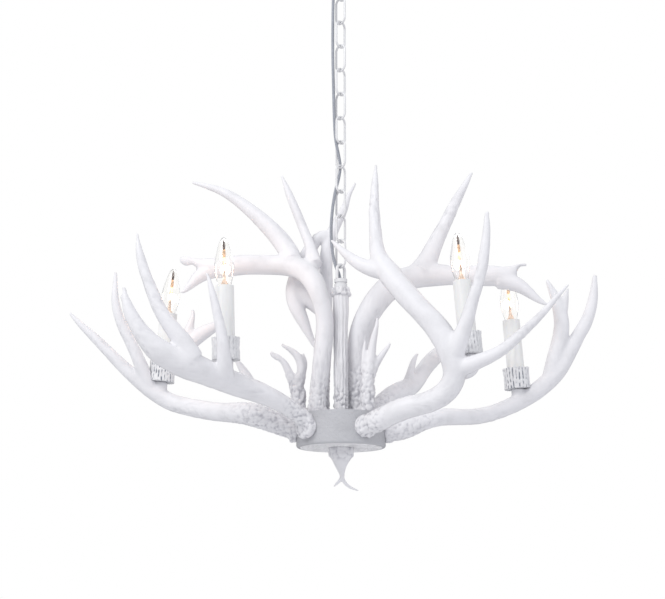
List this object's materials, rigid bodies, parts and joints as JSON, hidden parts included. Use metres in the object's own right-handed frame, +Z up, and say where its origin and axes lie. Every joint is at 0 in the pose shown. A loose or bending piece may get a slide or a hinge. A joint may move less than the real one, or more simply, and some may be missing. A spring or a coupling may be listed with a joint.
{
  "type": "antler chandelier",
  "caption": "White resin antler chandelier: a chain from a ceiling canopy carries a round hub with spreading and standing antlers, candle sleeves with flame bulbs and a small antler-tip finial.",
  "frame": {"origin": "centre of the two outlet-box screws on the ceiling plane", "axes": "+Z up into the ceiling, +X to the right seen from the front, -Y to the front"},
  "size_m": [0.9797, 0.5602, 1.0454],
  "materials": {
    "antler_resin": "satin white resin with faint grain",
    "cup_resin": "satin white resin, grooved",
    "hub_white": "rough cast white resin",
    "white_metal": "white enamel",
    "zinc_steel": "zinc plated",
    "cord_grey": "braided grey sheath",
    "lead_insulation": "insulated wire",
    "connector_plastic": "twist-on connectors",
    "sleeve_white": "smooth white candle sleeve",
    "socket_black": "moulded lampholder",
    "bulb_glass": "clear glass",
    "bulb_brass": "screw shell"
  },
  "bodies": {
    "ceiling": {"crossbar": "zinc_steel", "crossbar_screws": "zinc_steel", "ceiling_loop": "white_metal", "supply_leads": "lead_insulation", "wire_connectors": "connector_plastic", "supply_cord": "cord_grey"},
    "canopy_cover": {"canopy": "white_metal", "canopy_ring": "white_metal"},
    "link_01": {"chain_link_01": "white_metal"},
    "link_02": {"chain_link_02": "white_metal"},
    "link_03": {"chain_link_03": "white_metal"},
    "link_04": {"chain_link_04": "white_metal"},
    "link_05": {"chain_link_05": "white_metal"},
    "link_06": {"chain_link_06": "white_metal"},
    "link_07": {"chain_link_07": "white_metal"},
    "link_08": {"chain_link_08": "white_metal"},
    "link_09": {"chain_link_09": "white_metal"},
    "link_10": {"chain_link_10": "white_metal"},
    "link_11": {"chain_link_11": "white_metal"},
    "link_12": {"chain_link_12": "white_metal"},
    "fixture": {"stem_loop": "white_metal", "stem_cap": "white_metal", "stem_tube": "zinc_steel", "stem_column": "antler_resin", "hub_drum": "hub_white", "hub_cover": "hub_white", "hub_nut": "zinc_steel", "antler_screws": "zinc_steel", "antler_front_left": "antler_resin", "antler_front_right": "antler_resin", "antler_left": "antler_resin", "antler_right": "antler_resin", "antler_back_left": "antler_resin", "antler_back_right": "antler_resin", "antler_upper_left": "antler_resin", "antler_upper_right": "antler_resin", "antler_upper_back": "antler_resin", "antler_small_left": "antler_resin", "antler_small_right": "antler_resin", "candle_cup_left": "cup_resin", "candle_sleeve_left": "sleeve_white", "lamp_socket_left": "socket_black", "candle_cup_front_left": "cup_resin", "candle_sleeve_front_left": "sleeve_white", "lamp_socket_front_left": "socket_black", "candle_cup_front_right": "cup_resin", "candle_sleeve_front_right": "sleeve_white", "lamp_socket_front_right": "socket_black", "candle_cup_right": "cup_resin", "candle_sleeve_right": "sleeve_white", "lamp_socket_right": "socket_black"},
    "finial_tip": {"finial": "antler_resin"},
    "bulb_left": {"bulb_glass_left": "bulb_glass", "bulb_base_left": "bulb_brass"},
    "bulb_front_left": {"bulb_glass_front_left": "bulb_glass", "bulb_base_front_left": "bulb_brass"},
    "bulb_front_right": {"bulb_glass_front_right": "bulb_glass", "bulb_base_front_right": "bulb_brass"},
    "bulb_right": {"bulb_glass_right": "bulb_glass", "bulb_base_right": "bulb_brass"}
  },
  "joints": [
    {"name": "canopy_slide", "type": "slide", "parent": "ceiling", "child": "canopy_cover", "axis": [0, 0, 1], "range_m": [-0.04, 0]},
    {"name": "link_01_swing", "type": "hinge", "parent": "ceiling", "child": "link_01", "pos_m": [0, 0, -0.07], "axis": [0.7071, -0.7071, 0], "range_deg": [-10, 10], "deforming": ["supply_cord"]},
    {"name": "link_02_swing", "type": "hinge", "parent": "link_01", "child": "link_02", "pos_m": [0, 0, -0.11625], "axis": [0.7071, 0.7071, 0], "range_deg": [-10, 10]},
    {"name": "link_03_swing", "type": "hinge", "parent": "link_02", "child": "link_03", "pos_m": [0, 0, -0.16325], "axis": [0.7071, -0.7071, 0], "range_deg": [-10, 10]},
    {"name": "link_04_swing", "type": "hinge", "parent": "link_03", "child": "link_04", "pos_m": [0, 0, -0.21025], "axis": [0.7071, 0.7071, 0], "range_deg": [-10, 10]},
    {"name": "link_05_swing", "type": "hinge", "parent": "link_04", "child": "link_05", "pos_m": [0, 0, -0.25725], "axis": [0.7071, -0.7071, 0], "range_deg": [-10, 10]},
    {"name": "link_06_swing", "type": "hinge", "parent": "link_05", "child": "link_06", "pos_m": [0, 0, -0.30425], "axis": [0.7071, 0.7071, 0], "range_deg": [-10, 10]},
    {"name": "link_07_swing", "type": "hinge", "parent": "link_06", "child": "link_07", "pos_m": [0, 0, -0.35125], "axis": [0.7071, -0.7071, 0], "range_deg": [-10, 10]},
    {"name": "link_08_swing", "type": "hinge", "parent": "link_07", "child": "link_08", "pos_m": [0, 0, -0.39825], "axis": [0.7071, 0.7071, 0], "range_deg": [-10, 10]},
    {"name": "link_09_swing", "type": "hinge", "parent": "link_08", "child": "link_09", "pos_m": [0, 0, -0.44525], "axis": [0.7071, -0.7071, 0], "range_deg": [-10, 10]},
    {"name": "link_10_swing", "type": "hinge", "parent": "link_09", "child": "link_10", "pos_m": [0, 0, -0.49225], "axis": [0.7071, 0.7071, 0], "range_deg": [-10, 10]},
    {"name": "link_11_swing", "type": "hinge", "parent": "link_10", "child": "link_11", "pos_m": [0, 0, -0.53925], "axis": [0.7071, -0.7071, 0], "range_deg": [-10, 10]},
    {"name": "link_12_swing", "type": "hinge", "parent": "link_11", "child": "link_12", "pos_m": [0, 0, -0.58625], "axis": [0.7071, 0.7071, 0], "range_deg": [-10, 10]},
    {"name": "fixture_swing", "type": "hinge", "parent": "link_12", "child": "fixture", "pos_m": [0, 0, -0.63325], "axis": [0.7071, -0.7071, 0], "range_deg": [-8, 8]},
    {"name": "finial_turn", "type": "hinge", "parent": "fixture", "child": "finial_tip", "pos_m": [0, 0, -0.9602], "axis": [0, 0, 1], "continuous": true},
    {"name": "bulb_left_unscrew", "type": "slide", "parent": "fixture", "child": "bulb_left", "axis": [0.0872, 0, 0.9962], "range_m": [0, 0.028]},
    {"name": "bulb_front_left_unscrew", "type": "slide", "parent": "fixture", "child": "bulb_front_left", "axis": [-0.0349, 0, 0.9994], "range_m": [0, 0.028]},
    {"name": "bulb_front_right_unscrew", "type": "slide", "parent": "fixture", "child": "bulb_front_right", "axis": [-0.0785, 0, 0.9969], "range_m": [0, 0.028]},
    {"name": "bulb_right_unscrew", "type": "slide", "parent": "fixture", "child": "bulb_right", "axis": [-0.0698, 0, 0.9976], "range_m": [0, 0.028]}
  ]
}
